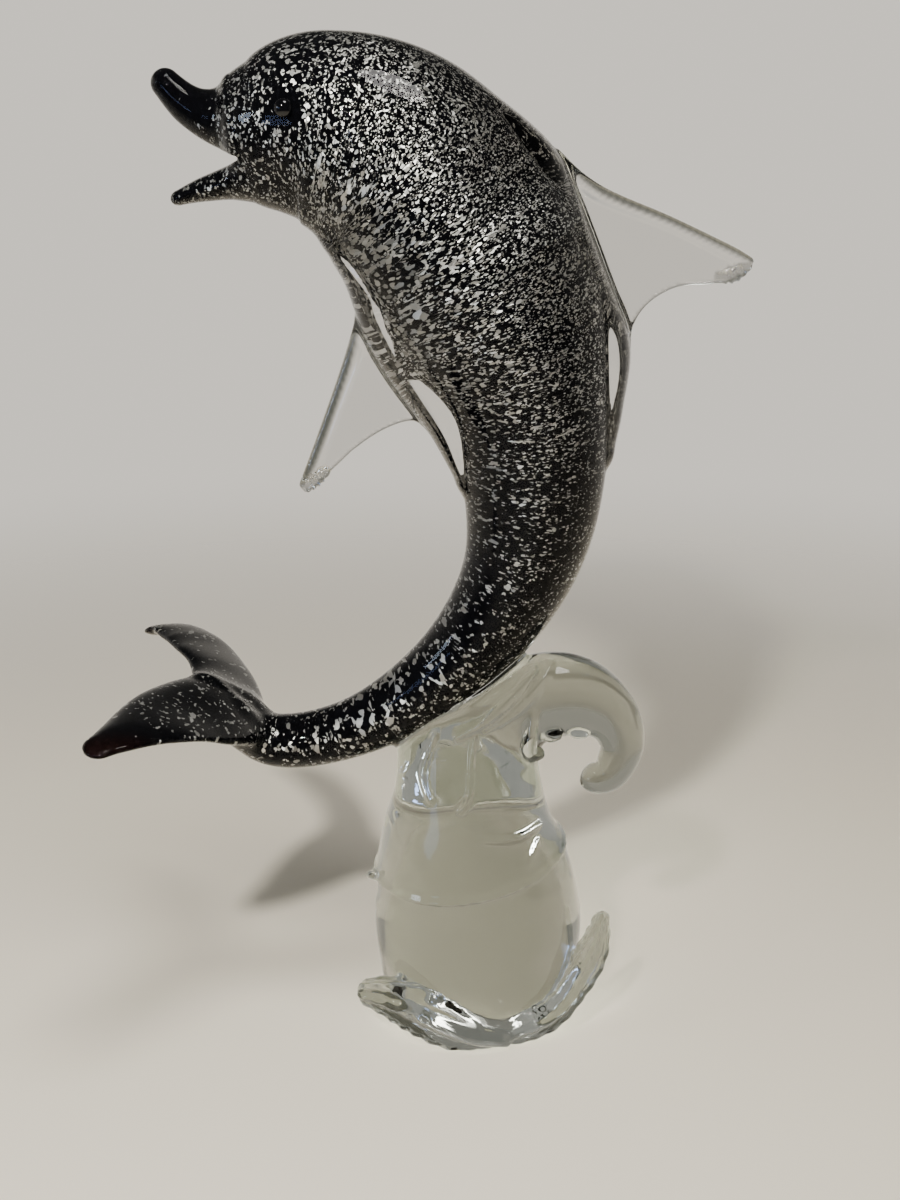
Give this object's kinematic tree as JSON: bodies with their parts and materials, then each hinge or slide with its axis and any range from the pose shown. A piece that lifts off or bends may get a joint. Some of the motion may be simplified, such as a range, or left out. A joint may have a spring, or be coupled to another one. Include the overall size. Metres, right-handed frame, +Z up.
{
  "type": "glass dolphin figurine",
  "caption": "Ornament of a leaping dolphin in black glass with broken silver leaf, with clear glass fins, standing on a clear glass wave.",
  "frame": {"origin": "middle of the foot, on the surface that the figurine stands on", "axes": "+Z up, the head and the flukes point along -X, +Y away from the viewer of the near side"},
  "size_m": [0.2005, 0.124, 0.3199],
  "materials": {
    "silver_leaf_glass": "black glass with broken silver leaf under a thin clear casing, fire polished",
    "clear_glass": "clear glass with a faint grey green tint, fire polished",
    "black_glass": "black glass bead, fire polished"
  },
  "bodies": {
    "root": {"dolphin_body": "silver_leaf_glass", "dorsal_fin": "clear_glass", "belly_fin": "clear_glass", "wave_base": "clear_glass", "left_eye": "black_glass", "right_eye": "black_glass"}
  },
  "joints": []
}
